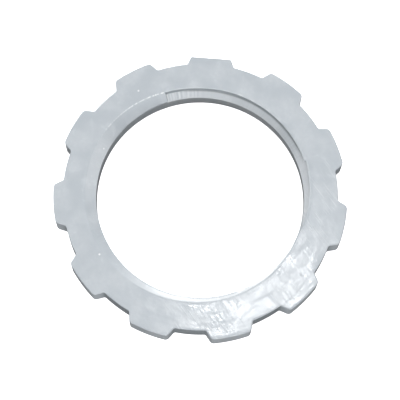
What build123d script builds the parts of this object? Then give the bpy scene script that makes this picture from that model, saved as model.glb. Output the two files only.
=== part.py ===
from build123d import *
from build123d.topology import SkipClean
import os
from math import sqrt

# A moulded plastic lock ring for 20 mm conduit, one piece, lying flat.
# All sizes are in millimetres. The origin is on the thread axis, in the bottom face, with +Z up.

# Ring and lugs
thickness = 2.4
rim_wall = 1.875
lug_height = 0.83
lug_count = 11
lug_tip_width = 3.5
lug_root_width = 4.2
lug_corner_radius = 0.45
notch_corner_radius = 0.25
rim_bevel = 0.1

# The mould's gate was on the lug on +Y, and its tip was trimmed flat there.
gate_lug_angle = 90.0
gate_trim = 0.3

# Internal thread, right hand
pitch = 1.5
minor_diameter = 18.5
thread_depth = 1.05
crest_flat = 0.1
root_flat = 0.04

# Where the groove's root leaves the top face, and the blunt step that starts it before that place.
# The groove ends blind after less than a whole turn, and the bore below it is plain.
root_exit_angle = 159.5
step_angle = 113.0
step_edge_setback = 0.35
groove_end_angle = -155.0

# How far cutting shapes reach past the faces that they cut, and their divisions
overrun = 0.5
mouth_overrun = 0.04
sections_in_run_out = 16
bore_slices = 12

# Dependent sizes
slice_angle = 360 / bore_slices
minor_radius = minor_diameter / 2
major_radius = minor_radius + thread_depth
root_radius = major_radius + rim_wall
tip_radius = root_radius + lug_height

# A lug's corners lie on the root and tip circles, and its straight sides run on past both.
lug_foot = sqrt(root_radius**2 - (lug_root_width / 2) ** 2)
lug_end = sqrt(tip_radius**2 - (lug_tip_width / 2) ** 2)
lug_taper = (lug_root_width - lug_tip_width) / (lug_end - lug_foot)
lug_inner_width = lug_root_width + lug_taper * overrun
lug_outer_width = lug_tip_width - lug_taper * overrun

flank_rise = (pitch - crest_flat - root_flat) / 2
flank_slope = flank_rise / thread_depth
full_drop = flank_rise + root_flat / 2


def helix_height(angle):
    """Height of the groove's centre line at an angle; it passes the top face at root_exit_angle."""
    return thickness + pitch * (angle - root_exit_angle) / 360


def radial_plane(angle):
    """Upright plane through the axis, with its x axis pointing outwards at the angle."""
    outwards = Vector(1, 0, 0).rotate(Axis.Z, angle)
    return Plane(origin=(0, 0, 0), x_dir=outwards, z_dir=outwards.rotate(Axis.Z, -90))


# The V groove's cut starts a little inside the bore.
mouth_radius = minor_radius - mouth_overrun
mouth_half_width = root_flat / 2 + flank_slope * (thread_depth + mouth_overrun)

# The helix object always starts on +X, so it is turned to its place here, outside the builder.
groove_end = helix_height(groove_end_angle)
groove_path = Rot(0, 0, groove_end_angle) * Helix(
    pitch=pitch,
    height=helix_height(step_angle) - groove_end,
    radius=minor_radius,
    center=(0, 0, groove_end),
)

# The turn in which the helix rises by a whole flank
run_out_mouth_radius = minor_radius - overrun
run_out_turn = 360 * full_drop / pitch
run_out_end_angle = root_exit_angle + run_out_turn
run_out_step = (run_out_end_angle - step_angle) / (sections_in_run_out - 2)


def run_out_edge_radius(angle):
    """Radius at which the run-out meets the top face: a spiral that eases in from the step."""
    if angle < root_exit_angle:
        share = (root_exit_angle - angle) / (root_exit_angle - step_angle)
        return major_radius - step_edge_setback * share**2
    share = (angle - root_exit_angle) / run_out_turn
    return major_radius - thread_depth * share


def run_out_slope(angle):
    """Slope of the run-out's flank: steeper towards the step, where its edge is set back."""
    if angle < root_exit_angle:
        return full_drop / (run_out_edge_radius(angle) - minor_radius)
    return full_drop / thread_depth


with BuildPart() as lock_ring:
    # Lugged disc: one tapered lug repeated round the root circle and cut by the tip circle
    with BuildSketch() as outline:
        with BuildLine():
            Polyline(
                (lug_foot - overrun, -lug_inner_width / 2),
                (lug_end + overrun, -lug_outer_width / 2),
                (lug_end + overrun, lug_outer_width / 2),
                (lug_foot - overrun, lug_inner_width / 2),
                close=True,
            )
        lug = make_face(mode=Mode.PRIVATE)
        Circle(root_radius)
        with PolarLocations(0, lug_count, start_angle=gate_lug_angle):
            add(lug)
        Circle(tip_radius, mode=Mode.INTERSECT)
        corners = outline.vertices().group_by(lambda v: round(v.center().length, 3))
        fillet(corners[-1], lug_corner_radius)
        corners = outline.vertices().group_by(lambda v: round(v.center().length, 3))
        fillet(corners[0], notch_corner_radius)
    extrude(amount=thickness)

    # The moulded ring's rims are slightly broken.
    rims = lock_ring.faces().sort_by(Axis.Z)[-1].edges() + lock_ring.faces().sort_by(Axis.Z)[0].edges()
    chamfer(rims, rim_bevel)

    # The gate lug was trimmed after moulding, so its tip is flat and its edges there are sharp.
    with BuildSketch():
        with Locations((0, tip_radius - gate_trim + overrun)):
            Rectangle(lug_root_width, 2 * overrun)
    extrude(amount=thickness, mode=Mode.SUBTRACT)

    # Groove from its blind lower end up to the blunt step
    with BuildSketch(radial_plane(groove_end_angle)):
        with BuildLine():
            Polyline(
                (mouth_radius, groove_end - mouth_half_width),
                (major_radius, groove_end - root_flat / 2),
                (major_radius, groove_end + root_flat / 2),
                (mouth_radius, groove_end + mouth_half_width),
                close=True,
            )
        make_face()
    sweep(path=groove_path, is_frenet=True, mode=Mode.SUBTRACT)

    # Run-out: the groove's lower flank, level from the step to the exit and then rising to the crest
    for index in range(sections_in_run_out):
        angle = step_angle + index * run_out_step
        edge_radius = run_out_edge_radius(angle)
        slope = run_out_slope(angle)
        with BuildSketch(radial_plane(angle)):
            with BuildLine():
                Polyline(
                    (run_out_mouth_radius, thickness - slope * (edge_radius - run_out_mouth_radius)),
                    (edge_radius + overrun / slope, thickness + overrun),
                    (run_out_mouth_radius, thickness + overrun),
                    close=True,
                )
            make_face()
    loft(mode=Mode.SUBTRACT)

    # Bore at the thread's crest, cut slice by slice so that each short stretch of the helical crest is a face
    with SkipClean():
        for index in range(bore_slices):
            with BuildSketch():
                with BuildLine():
                    arc = CenterArc((0, 0), minor_radius, index * slice_angle, slice_angle)
                    Line(arc @ 1, (0, 0))
                    Line((0, 0), arc @ 0)
                make_face()
            extrude(amount=thickness, mode=Mode.SUBTRACT)

lock_ring.part.label = "lock_ring"

os.makedirs("parts", exist_ok=True)
export_step(lock_ring.part, "parts/lock_ring.step")
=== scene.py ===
from math import atan2, cos, pi, radians, sin, sqrt, tan

import bmesh
import bpy
import numpy as np
from mathutils import Matrix, Vector


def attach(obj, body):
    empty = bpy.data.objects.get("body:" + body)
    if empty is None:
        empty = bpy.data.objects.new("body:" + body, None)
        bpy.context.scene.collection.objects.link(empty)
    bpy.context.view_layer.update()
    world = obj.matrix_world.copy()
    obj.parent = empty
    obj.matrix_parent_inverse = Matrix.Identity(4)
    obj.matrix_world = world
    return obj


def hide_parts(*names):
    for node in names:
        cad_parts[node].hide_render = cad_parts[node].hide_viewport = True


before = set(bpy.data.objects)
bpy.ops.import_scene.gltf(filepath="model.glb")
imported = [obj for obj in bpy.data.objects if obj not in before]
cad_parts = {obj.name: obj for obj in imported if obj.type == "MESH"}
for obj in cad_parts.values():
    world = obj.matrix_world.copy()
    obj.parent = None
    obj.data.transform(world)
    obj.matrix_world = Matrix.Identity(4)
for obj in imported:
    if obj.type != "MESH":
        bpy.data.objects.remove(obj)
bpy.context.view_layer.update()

# A moulded plastic lock ring on a pale floor. Sizes are in millimetres and turned to metres in the meshes.
MM = 0.001

# Ring and lugs
thickness = 2.4
minor_radius = 9.25
thread_depth = 1.05
rim_wall = 1.875
lug_height = 0.83
lug_count = 11
lug_tip_width = 3.5
lug_root_width = 4.2
lug_corner_radius = 0.45
notch_corner_radius = 0.25
rim_round = 0.1
gate_lug_angle = 90.0
gate_trim = 0.3

# Thread
pitch = 1.5
crest_flat = 0.1
root_flat = 0.04
root_exit_angle = 159.5
step_angle = 113.0
step_edge_setback = 0.35
groove_end_angle = -155.0

# The face's inner edge: worn wider along the run-out, and a rounded lip where the groove runs under it
edge_reach = 0.09
run_out_wear = 0.14
run_out_wear_depth = 0.14
run_out_worn = (165.0, 200.0, 330.0, 348.0)
# Painted light that makes the run-out's band paler on the near side
run_out_painted_light = 0.5
painted_light_from = 215.0
painted_light_turn = 45.0
edge_lean_drop = 0.02
lip_radius = 9.84
lip_even_from = 387.0
lip_gone_at = 330.0
lip_end_turn = 22.0
lip_face_height = 0.5
lip_foot_gap = 0.004
nose_share = 0.456

# The thin flash that the mould left along the inner edge after the step
flash_height = 0.03
flash_turn = 66.0
flash_start_turn = 1.5
flash_middle = 0.6
flash_unevenness = 0.35
flash_strongest = 1.4

# The painted highlight along the lip's edge, and the marks across the wall, clearest in one stretch
lip_highlight_from = 345.0
lip_highlight_turn = 70.0
lip_highlight_strongest = 0.22
lip_highlight_unevenness = 0.08
marked_stretch = (380.0, 432.0)
marks_fade_turn = 12.0
faint_marks = 0.12

# Painted light that makes the wall under the lip paler, streaked near the step, and a line of painted shade
# close under the lip and along the step: colour that stands in for the shadow in the undercut.
wall_painted_paleness = 0.32
pale_turn = 30.0
streak_strength = 0.11
streak_turn = 30.0
dark_from = 377.0
dark_turn = 20.0
dark_reach = 0.1
step_dark_turn = 1.4
step_painted_shade = 0.75
flank_foot = 0.04

# Painted shade on the walls of the notches
notch_painted_shade = 0.65
notch_reach = 0.3

# Colours of the plastic and of what lies on it
shaded_plastic = (0.55, 0.6, 0.645)
pale_plastic = (0.635, 0.68, 0.72)
grain_colour = (0.56, 0.61, 0.66)
smudge_colour = (0.72, 0.77, 0.81)
scratch_colour = (0.85, 0.89, 0.92)
pale_dot_colour = (0.95, 0.97, 1.0)
pit_colour = (0.2, 0.22, 0.24)
mark_colour = (0.3, 0.33, 0.35)
# The next is the colour of the white flash, of painted highlights and of painted light; the one after it, of
# painted shade
highlight_and_flash_colour = (0.93, 0.96, 0.98)
painted_shade_colour = (0.11, 0.14, 0.16)

# The scratches' direction in degrees
scratch_turn = 40.0

# Sizes that follow from the ones above
major_radius = minor_radius + thread_depth
root_radius = major_radius + rim_wall
tip_radius = root_radius + lug_height
flank_rise = (pitch - crest_flat - root_flat) / 2
full_drop = flank_rise + root_flat / 2
whole_turn = 360.0

# The mesh's divisions, and the half width of the groove's blind end face in degrees
tip_arc_points = 12
root_arc_points = 11
tip_corner_points = 9
root_corner_points = 6
edge_points = 7
flank_rows = 8
crest_shares = (0.25, 0.5, 0.75)
lip_foot_rows = 2
thread_turns = 3
rim_points = 6
wall_points = 7
face_points = 11
end_face_turn = 0.01
bezier_reach = 0.39
sharp_turn = 38.0
shortest_edge = 1e-5
least_depth = 1e-9
merge_distance = 2e-7


def ease(x):
    """Smooth step from 0 to 1 as x goes from 0 to 1: x squared times (3 - 2x)."""
    x = np.clip(x, 0, 1)
    return x * x * (3 - 2 * x)


def ripple(angle, seed, fewest, most, count):
    """Uneven ripple round the ring: sines of random whole numbers of waves and random phases.

    Their sum is divided by the root of half their count, so that it spreads by about 1.
    """
    rng = np.random.default_rng(seed)
    turns = rng.integers(fewest, most, count)
    phases = rng.uniform(0, 2 * pi, count)
    return np.sin(np.radians(angle)[:, None] * turns + phases).sum(1) / sqrt(count / 2)


def on_circle(radius, angle):
    """Point on a circle at an angle in radians."""
    return np.array([radius * cos(angle), radius * sin(angle)])


def along_circle(angle):
    """Direction in which a circle runs on at an angle in radians."""
    return np.array([-sin(angle), cos(angle)])


def smooth_corner(before, after, start_way, end_way, steps):
    """Points of a cubic Bezier curve that leaves one point along a way and meets the next along another."""
    reach = np.linalg.norm(after - before) * bezier_reach
    handles = np.array([before, before + start_way * reach, after - end_way * reach, after])
    t = np.linspace(0, 1, steps)[:, None]
    return np.hstack([(1 - t) ** 3, 3 * t * (1 - t) ** 2, 3 * t**2 * (1 - t), t**3]) @ handles


def half_lug():
    """Outline from the middle of a lug's tip to the middle of the notch after it.

    The tip and root circles are joined by a straight side. Each corner is a Bezier curve that starts and ends
    at the rounding's reach, radius times tan(half the turn), from the sharp corner.
    """
    tip_angle = atan2(lug_tip_width / 2, sqrt(tip_radius**2 - (lug_tip_width / 2) ** 2))
    root_angle = atan2(lug_root_width / 2, sqrt(root_radius**2 - (lug_root_width / 2) ** 2))
    tip_corner = on_circle(tip_radius, tip_angle)
    root_corner = on_circle(root_radius, root_angle)
    side = (root_corner - tip_corner) / np.linalg.norm(root_corner - tip_corner)
    tip_reach = lug_corner_radius * tan(np.arccos(side @ along_circle(tip_angle)) / 2)
    root_reach = notch_corner_radius * tan(np.arccos(side @ along_circle(root_angle)) / 2)
    tip_end = tip_angle - tip_reach / tip_radius
    root_start = root_angle + root_reach / root_radius
    tip_angles = np.linspace(0, tip_end, tip_arc_points)
    root_angles = np.linspace(root_start, pi / lug_count, root_arc_points)
    tip_arc = np.array([on_circle(tip_radius, a) for a in tip_angles])
    root_arc = np.array([on_circle(root_radius, a) for a in root_angles])
    tip_round = smooth_corner(
        tip_arc[-1], tip_corner + side * tip_reach, along_circle(tip_end), side, tip_corner_points
    )
    root_round = smooth_corner(
        root_corner - side * root_reach, root_arc[0], side, along_circle(root_start), root_corner_points
    )
    return np.vstack([tip_arc[:-1], tip_round, root_round, root_arc[1:]])


def ring_outline():
    """Angles, points and outward normals round the outline, from the step's angle round to it again.

    Half a lug is mirrored and repeated. A normal is the direction between a point's neighbours, turned by a
    quarter. The step's own angle is put in at both ends by linear interpolation, and the groove's blind end
    as two columns close together, between which its end face stands.
    """
    half = half_lug()
    lug = np.vstack([(half * (1, -1))[::-1], half[1:-1]])
    turns = radians(gate_lug_angle) + np.arange(lug_count) * 2 * pi / lug_count
    loop = np.vstack([lug @ np.array([[cos(a), sin(a)], [-sin(a), cos(a)]]) for a in turns])
    angle = np.degrees(np.arctan2(loop[:, 1], loop[:, 0]))
    angle = step_angle + (angle - step_angle) % whole_turn
    order = np.argsort(angle)
    angle, loop = angle[order], loop[order]
    ahead = np.roll(loop, -1, 0) - np.roll(loop, 1, 0)
    normal = np.stack([ahead[:, 1], -ahead[:, 0]], 1)
    normal /= np.linalg.norm(normal, axis=1)[:, None]
    wrapped = np.concatenate([[angle[-1] - whole_turn], angle, [angle[0] + whole_turn]])
    groove_end = groove_end_angle + whole_turn
    ends = [step_angle, groove_end - end_face_turn, groove_end + end_face_turn, step_angle + whole_turn]
    columns = np.sort(np.concatenate([angle, ends]))
    values = np.hstack([loop, normal])
    values = np.vstack([values[-1:], values, values[:1]])
    values = np.stack([np.interp(columns, wrapped, v) for v in values.T], 1)
    return columns, values[:, :2], values[:, 2:]


def groove_height(angle):
    """Height of the groove's centre, which passes the top face at its exit."""
    return thickness + pitch * (angle - root_exit_angle) / whole_turn


def thread_radius(angle, height):
    """Radius of the bore's wall at a height: the V thread's, by the distance to the nearest groove's centre.

    A turn of the groove that would lie past its blind end isn't there, and the wall is plain.
    Three parts differ. Between the step and the exit, over the first crest, it is the run-out: a line from
    the crest up to an edge that is set back at the step. After the exit that line is worn a little wider.
    Before the step, down to the lip's foot, the wall is no further out than the lip's blunt inner face.
    """
    centre = groove_height(angle)
    turns_below = np.round((centre - height) / pitch)
    from_root = np.abs(centre - height - turns_below * pitch)
    radius = major_radius - thread_depth * np.clip((from_root - root_flat / 2) / flank_rise, 0, 1)
    radius = np.where(angle - turns_below * whole_turn < groove_end_angle, minor_radius, radius)

    back = (root_exit_angle - angle) / (root_exit_angle - step_angle)
    edge = major_radius - step_edge_setback * back**2
    climbed = np.clip((height - thickness + full_drop) / full_drop, 0, 1)
    over_crest = (angle < root_exit_angle) & (height > centre - full_drop)
    radius = np.where(over_crest, minor_radius + climbed * (edge - minor_radius), radius)

    wear, worn_depth = run_out_worn_away(angle)
    crest_depth = np.clip(thickness + full_drop - centre, 0, full_drop)
    worn_edge = thread_depth * crest_depth / full_drop + run_out_wear * wear
    climbed = np.clip(1 - (thickness - height) / np.maximum(worn_depth, least_depth), 0, 1)
    radius = np.where(wear > 0, np.maximum(radius, minor_radius + climbed * worn_edge), radius)

    lip_face = (angle > lip_gone_at) & (height > thickness - lip_face_height)
    return np.where(lip_face, np.minimum(radius, lip_edge(angle)), radius)


def run_out_worn_away(angle):
    """Share of the wear along the run-out, from 0 to 1, and how deep the worn line reaches.

    It reaches down to the crest at least.
    """
    starts, full, fades, ends = run_out_worn
    wear = ease((angle - starts) / (full - starts)) * ease((ends - angle) / (ends - fades))
    crest_depth = np.clip(thickness + full_drop - groove_height(angle), 0, full_drop)
    return wear, np.maximum(crest_depth, run_out_wear_depth * wear)


def lip_edge(angle):
    """Radius of the lip's upright face: even, and easing to the run-out's edge at the step."""
    at_step = major_radius - step_edge_setback
    step_ease = ease((angle - step_angle - whole_turn + lip_end_turn) / lip_end_turn)
    return lip_radius + (at_step - lip_radius) * step_ease


def flash_beads(angle):
    """Strength of the flash along the inner edge: beaded, and fading from the step to where it ends."""
    turned = angle - step_angle
    uneven = flash_middle + flash_unevenness * ripple(angle, seed=5, fewest=90, most=320, count=12)
    beads = np.clip(uneven, 0, flash_strongest)
    return beads * (1 - ease(turned / flash_turn)) * ease(turned / flash_start_turn)


def lip_highlight(angle):
    """Painted highlight along the lip's rounded edge, which eases in from nothing at its start angle."""
    uneven = lip_highlight_unevenness * ripple(angle, seed=6, fewest=20, most=90, count=8)
    return (lip_highlight_strongest + uneven) * ease((angle - lip_highlight_from) / lip_highlight_turn)


def wall_painted_light(angle, radius):
    """Painted light that makes the wall under the lip paler, with lighter streaks down its flank that gather
    towards the step.
    """
    near_step = ease((angle - step_angle - whole_turn + streak_turn) / streak_turn)
    streaks = streak_strength * ripple(angle, seed=8, fewest=90, most=260, count=16) * near_step
    streaks = streaks * (radius > minor_radius + flank_foot)
    return (wall_painted_paleness + streaks) * ease((angle - lip_gone_at) / pale_turn)


def wall_painted_shade(angle, radius):
    """Painted shade on the lip's blunt face, on the wall close under it and in a line on the flank by the
    step.
    """
    close_under = ease((radius - lip_edge(angle) + dark_reach) / dark_reach)
    under_lip = close_under * ease((angle - dark_from) / dark_turn)
    at_step = step_painted_shade * ease((angle - step_angle - whole_turn + step_dark_turn) / step_dark_turn)
    return np.maximum(under_lip, at_step * (radius > minor_radius + flank_foot))


def tool_marks(angle):
    """Light and dark marks across the wall, strongest in one stretch and faint elsewhere."""
    first, last = marked_stretch
    strongest = ease((angle - first) / marks_fade_turn) * ease((last - angle) / marks_fade_turn)
    strength = faint_marks + (1 - faint_marks) * strongest
    return strength * ripple(angle, seed=7, fewest=170, most=330, count=14)


def bore_profile(angle):
    """Radius and height of the bore's points, a column an angle, from the top face to the bottom face.

    The rows follow the helix: each keeps its own drop below the groove's centre, held between the faces. Two
    more rows run level along the lip's foot. The top edge is a quadratic Bezier curve from the face over the
    sharp edge to the wall.
    """
    flank = np.linspace(0, 1, flank_rows)
    one_turn = np.concatenate([
        root_flat / 2 + flank_rise * flank,
        full_drop + crest_flat * np.array(crest_shares),
        full_drop + crest_flat + flank_rise * flank,
    ])
    drops = np.concatenate([one_turn + k * pitch for k in range(thread_turns)])
    sharp = thread_radius(angle, np.full_like(angle, thickness))

    # Reach of the edge's rounding: small, and larger where the lip is worn back from its sharp wedge. Ending
    # on the flank, its nose would stand behind the sharp edge by nose_share of its reach. It mostly ends on
    # the lip's face instead, which draws the nose further in. From 17.4 to 23.4 degrees it reaches below the
    # lip's foot and does end on the flank, and that leaves a shallow nick in the edge.
    lip_share = ease((angle - lip_gone_at) / (lip_even_from - lip_gone_at))
    worn_to = minor_radius + (lip_radius - minor_radius) * lip_share
    worn = np.where(angle > lip_gone_at, np.clip(worn_to - sharp, 0, None), 0)
    reach = edge_reach + worn / nose_share
    just_below = thread_radius(angle, np.full_like(angle, thickness - edge_lean_drop))
    lean = np.arctan2(edge_lean_drop, np.abs(sharp - just_below))
    wall_top = thickness - reach * np.sin(lean)

    heights = np.clip(groove_height(angle) - drops[:, None], 0, wall_top)
    lip_foot = np.full_like(angle, thickness - lip_face_height)
    heights = np.vstack([wall_top, heights, np.minimum(lip_foot + lip_foot_gap, wall_top), lip_foot])
    heights = np.sort(heights, axis=0)[::-1]
    radii = thread_radius(angle, heights)
    t = np.linspace(0, 1, edge_points)[:-1, None]
    edge_r = (1 - t) ** 2 * (sharp + reach) + 2 * t * (1 - t) * sharp + t**2 * radii[0]
    edge_z = (1 - t**2) * thickness + t**2 * heights[0]

    # The flash is a low, beaded ridge on the rounding's middle, held under the top face. It is whiter, partly
    # by its own whiteness and partly by a painted highlight. The lip's edge has a painted highlight, and the
    # run-out's near side and the wall under the lip have painted light.
    flash = flash_beads(angle)
    edge_z = np.minimum(edge_z + flash_height * flash * np.sin(pi * t), thickness)
    edge_flash_and_highlight = np.maximum(flash, lip_highlight(angle)) * np.sin(pi * t)
    wear, worn_depth = run_out_worn_away(angle)
    near_side_light = run_out_painted_light * ease((angle - painted_light_from) / painted_light_turn) * wear
    wall_light_share = np.where(heights > thickness - worn_depth, near_side_light, 0)
    under_lip = heights < thickness - lip_face_height
    wall_light_share = np.where(under_lip, np.maximum(wall_light_share, wall_painted_light(angle, radii)), wall_light_share)
    edge_flash_and_highlight = np.maximum(edge_flash_and_highlight, near_side_light * t)
    return np.vstack([edge_r, radii]), np.vstack([edge_z, heights]), edge_flash_and_highlight, wall_light_share


def ring_surface():
    """The whole ring as one grid: a column is a closed loop down the bore and back over the outside.

    Outside the bore a column runs from the bottom edge to the rim, up the wall along the outline and over the
    top face. The rims are quarter circles that draw the outline in by its normal. The gate lug's tip is cut
    by a plane after the rims are rounded.
    """
    angle, outline, normal = ring_outline()
    bore_r, bore_z, edge_flash_and_highlight, wall_light_share = bore_profile(angle)
    ray = np.stack([np.cos(np.radians(angle)), np.sin(np.radians(angle))], 1)
    bore = np.dstack([bore_r[:, :, None] * ray, bore_z])

    quarter = np.linspace(0, pi / 2, rim_points)
    inset = rim_round * (1 - np.sin(quarter))
    rise = rim_round * (1 - np.cos(quarter))
    bottom_rim = np.dstack([outline - inset[:, None, None] * normal, np.tile(rise[:, None], len(angle))])
    wall_heights = np.linspace(rim_round, thickness - rim_round, wall_points)[1:-1]
    wall_outline = np.tile(outline, (len(wall_heights), 1, 1))
    wall = np.dstack([wall_outline, np.tile(wall_heights[:, None], len(angle))])
    top_rim = bottom_rim[::-1] * (1, 1, -1) + (0, 0, thickness)
    outside = np.vstack([bottom_rim, wall, top_rim])
    cut = tip_radius - gate_trim
    gate = np.abs(outside[..., 0]) < lug_root_width
    outside[..., 1] = np.where(gate & (outside[..., 1] > cut), cut, outside[..., 1])

    share = ease_ends(face_points)[1:-1, None, None]
    bottom = bore[-1] + share * (outside[0] - bore[-1])
    top = outside[-1] + share * (bore[0] - outside[-1])
    points = np.vstack([bore, bottom, outside, top])

    # Whiteness, painted light, marks and painted shade at each point. Notch walls and the rims' rows by them
    # get painted shade.
    white = np.zeros(points.shape[:2])
    white[: len(bore)] = np.vstack([edge_flash_and_highlight, wall_light_share])
    marks = np.zeros(points.shape[:2])
    marks[len(edge_flash_and_highlight) : len(bore)] = tool_marks(angle)
    dark = np.zeros(points.shape[:2])
    dark[len(edge_flash_and_highlight) : len(bore)] = wall_painted_shade(angle, bore_r[len(edge_flash_and_highlight) :])
    in_notch = ease((root_radius + notch_reach - np.linalg.norm(outline, axis=1)) / notch_reach)
    wall_start = len(bore) + len(bottom) + len(bottom_rim)
    dark[wall_start - 2 : wall_start + len(wall) + 1] = notch_painted_shade * in_notch
    return points, white, marks, dark, len(edge_flash_and_highlight)


def ease_ends(count):
    """Shares from 0 to 1 that lie closer together at both ends."""
    return (1 - np.cos(np.linspace(0, pi, count))) / 2


def closed_faces(rows, columns):
    """Faces of a grid whose rows close on themselves and whose columns are open, by four corner numbers."""
    row = np.arange(rows)[:, None]
    column = np.arange(columns - 1)[None, :]
    below = (row + 1) % rows
    upper = row * columns + column
    lower = below * columns + column
    return np.stack([upper, upper + 1, lower + 1, lower], -1).reshape(-1, 4)


def make_ring():
    """The ring's mesh: the closed grid, its end columns joined, and the blunt step as a flat face there."""
    points, white, marks, dark, edge_rows = ring_surface()
    rows, columns = points.shape[:2]
    faces = closed_faces(rows, columns).tolist()

    # The step's outline goes down the first column to the crest and back up the last one, where the crest
    # lies a whole turn of rows lower. The rows above it are the edge's, the flank's and the lip foot's.
    rows_per_turn = 2 * flank_rows + len(crest_shares)
    crest_row = edge_rows + flank_rows + lip_foot_rows
    first = np.arange(1, crest_row + 1) * columns
    last = np.arange(0, crest_row + rows_per_turn) * columns + columns - 1
    corners = points.reshape(-1, 3)
    step = np.concatenate([first, last[::-1]])
    distance = np.linalg.norm(corners[step] - corners[np.roll(step, 1)], axis=1)
    faces.append(step[distance > shortest_edge].tolist())

    mesh = bpy.data.meshes.new("lock_ring_moulded")
    mesh.from_pydata((corners * MM).tolist(), [], faces)
    for name, values in (("flash_and_painted_light", white), ("tool_marks", marks), ("painted_shading", dark)):
        mesh.attributes.new(name, "FLOAT", "POINT").data.foreach_set("value", values.ravel())
    bm = bmesh.new()
    bm.from_mesh(mesh)
    bmesh.ops.remove_doubles(bm, verts=bm.verts, dist=merge_distance)
    bmesh.ops.triangulate(bm, faces=[f for f in bm.faces if len(f.verts) > 4])
    bmesh.ops.recalc_face_normals(bm, faces=bm.faces)
    bm.to_mesh(mesh)
    bm.free()
    mesh.shade_smooth()
    mesh.set_sharp_from_angle(angle=radians(sharp_turn))
    piece = bpy.data.objects.new("lock_ring_moulded", mesh)
    bpy.context.scene.collection.objects.link(piece)
    return piece


# Finishes


def node(tree, kind, **values):
    """A new node with its properties set, and its input values by name."""
    made = tree.nodes.new(kind)
    for name, value in values.items():
        if name in made.inputs:
            made.inputs[name].default_value = value
        else:
            setattr(made, name, value)
    return made


def noise(tree, place, scale, detail, roughness=0.5, distortion=0.0):
    """Noise value at a place in millimetres, from 0 to 1."""
    made = node(tree, "ShaderNodeTexNoise", Scale=scale, Detail=detail)
    made.inputs["Roughness"].default_value = roughness
    made.inputs["Distortion"].default_value = distortion
    tree.links.new(place, made.inputs["Vector"])
    return made.outputs["Fac"]


def spread(tree, value, low, high, to_low=0.0, to_high=1.0):
    """A value's stretch from low to high, spread smoothly over another stretch and held at its ends."""
    made = node(tree, "ShaderNodeMapRange", interpolation_type="SMOOTHSTEP")
    for name, number in (("From Min", low), ("From Max", high), ("To Min", to_low), ("To Max", to_high)):
        made.inputs[name].default_value = number
    tree.links.new(value, made.inputs["Value"])
    return made.outputs["Result"]


def maths(tree, operation, first, second):
    """Two values joined by an operation; either may be a number."""
    made = node(tree, "ShaderNodeMath", operation=operation)
    for socket, value in zip(made.inputs, (first, second)):
        if isinstance(value, (int, float)):
            socket.default_value = value
        else:
            tree.links.new(value, socket)
    return made.outputs["Value"]


def tint(tree, share, colour, towards):
    """A colour moved towards another by a share."""
    made = node(tree, "ShaderNodeMix", data_type="RGBA")
    tree.links.new(share, made.inputs["Factor"])
    for socket, value in ((made.inputs["A"], colour), (made.inputs["B"], towards)):
        if isinstance(value, tuple):
            socket.default_value = (*value, 1)
        else:
            tree.links.new(value, socket)
    return made.outputs["Result"]


def turned_place(tree, place, turn, width, length):
    """A place turned about Z and divided by a width and a length, for noise drawn out along a direction."""
    made = node(tree, "ShaderNodeMapping", vector_type="TEXTURE")
    made.inputs["Rotation"].default_value = (0, 0, radians(turn))
    made.inputs["Scale"].default_value = (width, length, 1)
    tree.links.new(place, made.inputs["Vector"])
    return made.outputs["Vector"]


def round_place(tree, place, width, length):
    """A place as its distance from the axis over a width, and its way round over a length."""
    parts = node(tree, "ShaderNodeSeparateXYZ")
    tree.links.new(place, parts.inputs["Vector"])
    across = maths(tree, "POWER", parts.outputs["X"], 2.0)
    along = maths(tree, "POWER", parts.outputs["Y"], 2.0)
    distance = maths(tree, "SQRT", maths(tree, "ADD", across, along), 0.0)
    turn = maths(tree, "ARCTAN2", parts.outputs["Y"], parts.outputs["X"])
    made = node(tree, "ShaderNodeCombineXYZ")
    tree.links.new(maths(tree, "DIVIDE", distance, width), made.inputs["X"])
    tree.links.new(maths(tree, "MULTIPLY", turn, minor_radius / length), made.inputs["Y"])
    return made.outputs["Vector"]


def bump(tree, height, distance, normal=None):
    """A normal bent by a height in millimetres, over another normal if there is one."""
    made = node(tree, "ShaderNodeBump", Strength=1.0, Distance=distance * MM)
    tree.links.new(height, made.inputs["Height"])
    if normal:
        tree.links.new(normal, made.inputs["Normal"])
    return made.outputs["Normal"]


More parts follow.
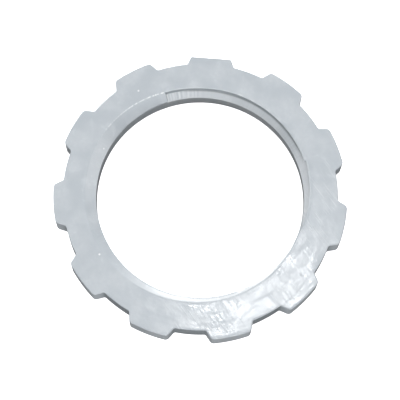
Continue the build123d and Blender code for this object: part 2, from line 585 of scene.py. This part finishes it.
def ring_plastic():
    """Pale grey-blue moulded plastic: cloudy and scuffed, with specks, white flash, painted highlights,
    painted light and painted shade.
    """
    material = bpy.data.materials.new("ring_plastic_moulded")
    material.use_nodes = True
    tree = material.node_tree
    shader = tree.nodes["Principled BSDF"]
    object_place = node(tree, "ShaderNodeTexCoord").outputs["Object"]
    in_mm = node(tree, "ShaderNodeMapping")
    in_mm.inputs["Scale"].default_value = (1 / MM, 1 / MM, 1 / MM)
    tree.links.new(object_place, in_mm.inputs["Vector"])
    place = in_mm.outputs["Vector"]
    flash_and_painted_light = node(tree, "ShaderNodeAttribute", attribute_name="flash_and_painted_light").outputs["Fac"]
    marks = node(tree, "ShaderNodeAttribute", attribute_name="tool_marks").outputs["Fac"]
    dark = node(tree, "ShaderNodeAttribute", attribute_name="painted_shading").outputs["Fac"]

    # Clouds in the plastic, a fine grain, and paler smudges
    clouds = noise(tree, place, scale=0.42, detail=3.0)
    grain = noise(tree, place, scale=3.2, detail=2.0)
    smudges = noise(tree, place, scale=0.85, detail=4.0, roughness=0.62, distortion=0.6)
    colour = tint(tree, spread(tree, clouds, 0.36, 0.64), shaded_plastic, pale_plastic)
    colour = tint(tree, spread(tree, grain, 0.3, 0.7, to_high=0.35), colour, grain_colour)
    colour = tint(tree, spread(tree, smudges, 0.56, 0.72, to_high=0.4), colour, smudge_colour)

    # Thin scratches, all one way and each broken up along its length, over the scuffed +X side
    parts = node(tree, "ShaderNodeSeparateXYZ")
    tree.links.new(place, parts.inputs["Vector"])
    scuffed = spread(tree, maths(tree, "SUBTRACT", parts.outputs["X"], parts.outputs["Y"]), 2.0, 11.0)
    patches = noise(tree, place, scale=0.3, detail=2.0)
    scuffed = maths(tree, "MULTIPLY", scuffed, spread(tree, patches, 0.4, 0.6))
    drawn_out = turned_place(tree, place, scratch_turn, width=0.11, length=2.4)
    fine_lines = noise(tree, drawn_out, scale=1.0, detail=1.0)
    scratches = maths(tree, "MULTIPLY", spread(tree, fine_lines, 0.56, 0.7), scuffed)
    colour = tint(tree, maths(tree, "MULTIPLY", scratches, 0.4), colour, scratch_colour)

    # Specks: one in a few cells of a cell pattern holds a small dot, pale or dark
    cells = node(tree, "ShaderNodeTexVoronoi", Scale=0.36)
    tree.links.new(place, cells.inputs["Vector"])
    dots = spread(tree, cells.outputs["Distance"], 0.02, 0.045, to_low=1.0, to_high=0.0)
    lot = node(tree, "ShaderNodeSeparateColor")
    tree.links.new(cells.outputs["Color"], lot.inputs["Color"])
    pale_dots = maths(tree, "MULTIPLY", dots, maths(tree, "GREATER_THAN", lot.outputs["Red"], 0.7))
    pits = maths(tree, "MULTIPLY", dots, maths(tree, "LESS_THAN", lot.outputs["Red"], 0.15))
    colour = tint(tree, pale_dots, colour, pale_dot_colour)
    colour = tint(tree, maths(tree, "MULTIPLY", pits, 0.5), colour, pit_colour)

    # The marks across the thread, the white flash with painted highlights and painted light, and painted
    # shade under the lip and on the notch walls
    colour = tint(tree, spread(tree, marks, -1.6, 1.6, to_high=0.22), colour, mark_colour)
    colour = tint(tree, spread(tree, flash_and_painted_light, 0.05, 0.9), colour, highlight_and_flash_colour)
    colour = tint(tree, spread(tree, dark, 0.0, 1.0, to_high=0.68), colour, painted_shade_colour)
    tree.links.new(colour, shader.inputs["Base Color"])

    # Gloss, and from the broadest to the smallest: waves round the ring, streaks, grain, scratches and pits
    roughness = spread(tree, clouds, 0.3, 0.7, to_low=0.3, to_high=0.42)
    coat_roughness = spread(tree, smudges, 0.3, 0.7, to_low=0.085, to_high=0.17)
    tree.links.new(roughness, shader.inputs["Roughness"])
    tree.links.new(coat_roughness, shader.inputs["Coat Roughness"])
    shader.inputs["Coat Weight"].default_value = 0.6
    waves = noise(tree, round_place(tree, place, width=1.3, length=3.2), scale=1.0, detail=2.0)
    streaked_place = turned_place(tree, place, scratch_turn, width=0.2, length=1.5)
    streaks = noise(tree, streaked_place, scale=1.0, detail=1.0)
    normal = bump(tree, waves, distance=0.027)
    normal = bump(tree, streaks, distance=0.002, normal=normal)
    normal = bump(tree, grain, distance=0.0024, normal=normal)
    normal = bump(tree, scratches, distance=0.004, normal=normal)
    normal = bump(tree, pits, distance=-0.03, normal=normal)
    tree.links.new(normal, shader.inputs["Normal"])
    tree.links.new(normal, shader.inputs["Coat Normal"])
    return material


ring = make_ring()
ring.data.materials.append(ring_plastic())
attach(ring, "root")
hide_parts("lock_ring")

# Floor
floor_mesh = bpy.data.meshes.new("floor")
half_floor = 1.5
floor_corners = [(x * half_floor, y * half_floor, 0) for x, y in ((-1, -1), (1, -1), (1, 1), (-1, 1))]
floor_mesh.from_pydata(floor_corners, [], [(0, 1, 2, 3)])
floor = bpy.data.objects.new("floor", floor_mesh)
bpy.context.scene.collection.objects.link(floor)
paper = bpy.data.materials.new("floor_paper")
paper.use_nodes = True
paper_shader = paper.node_tree.nodes["Principled BSDF"]
paper_shader.inputs["Base Color"].default_value = (0.9, 0.9, 0.9, 1)
paper_shader.inputs["Emission Color"].default_value = (1, 1, 1, 1)
paper_shader.inputs["Emission Strength"].default_value = 1.0
floor_mesh.materials.append(paper)
floor.visible_diffuse = False
floor.visible_glossy = False

# Camera: nearly straight above, leaning towards -Y. Its place is in its own directions, from the top face.
view_turn = 4.49
view_lean = 14.47
view_roll = -0.70
view_place = (-0.0486, -0.5226, 141.83)
camera_data = bpy.data.cameras.new("camera")
camera_data.lens = 144.5
camera_data.sensor_width = 36
camera = bpy.data.objects.new("camera", camera_data)
bpy.context.scene.collection.objects.link(camera)
turned = (
    Matrix.Rotation(radians(view_turn), 4, "Z")
    @ Matrix.Rotation(radians(view_lean), 4, "X")
    @ Matrix.Rotation(radians(view_roll), 4, "Y")
)
reach = Matrix.Translation(Vector(view_place) * MM)
camera.matrix_world = Matrix.Translation((0, 0, thickness * MM)) @ turned @ reach
camera_data.clip_start = 0.01
camera_data.clip_end = 10
bpy.context.scene.camera = camera

# Light
ground_glow = 0.07
sky_glow = 0.29
horizon_low = -0.05
horizon_high = 0.45
world = bpy.data.worlds.new("studio")
bpy.context.scene.world = world
world.use_nodes = True
sky = world.node_tree
direction = node(sky, "ShaderNodeTexCoord")
parts = node(sky, "ShaderNodeSeparateXYZ")
height_share = node(sky, "ShaderNodeMapRange", interpolation_type="SMOOTHSTEP")
height_share.inputs["From Min"].default_value = horizon_low
height_share.inputs["From Max"].default_value = horizon_high
height_share.inputs["To Min"].default_value = ground_glow
height_share.inputs["To Max"].default_value = sky_glow
sky.links.new(direction.outputs["Generated"], parts.inputs[0])
sky.links.new(parts.outputs["Z"], height_share.inputs["Value"])
sky.links.new(height_share.outputs["Result"], sky.nodes["Background"].inputs["Strength"])
sky.nodes["Background"].inputs["Color"].default_value = (1, 1, 1, 1)


def soft_light(name, place, width, height, power):
    """An oblong area light at a place, in metres, turned to the ring."""
    data = bpy.data.lights.new(name, "AREA")
    data.shape = "RECTANGLE"
    data.size = width
    data.size_y = height
    data.energy = power
    lamp = bpy.data.objects.new(name, data)
    bpy.context.scene.collection.objects.link(lamp)
    lamp.location = place
    lamp.rotation_euler = (-Vector(place)).to_track_quat("-Z", "Y").to_euler()
    return lamp


soft_light("front_softbox", (0.1, -0.5, 0.85), width=0.7, height=0.7, power=2.9)
soft_light("low_front_strip", (0.0, -0.9, 0.045), width=2.2, height=0.08, power=7.2)
soft_light("right_fill", (0.85, 0.1, 0.5), width=0.6, height=0.5, power=2.4)
soft_light("left_fill", (-0.85, 0.1, 0.5), width=0.6, height=0.5, power=2.1)
soft_light("back_strip", (-0.2, 0.9, 0.26), width=0.9, height=0.42, power=8.0)
soft_light("window", (0.026, 0.106, 0.6), width=0.045, height=0.03, power=0.075)
soft_light("window_left_pane", (0.008, 0.099, 0.592), width=0.02, height=0.016, power=0.05)
soft_light("window_right_pane", (0.041, 0.119, 0.589), width=0.02, height=0.016, power=0.05)

bpy.context.scene.view_settings.view_transform = "Standard"
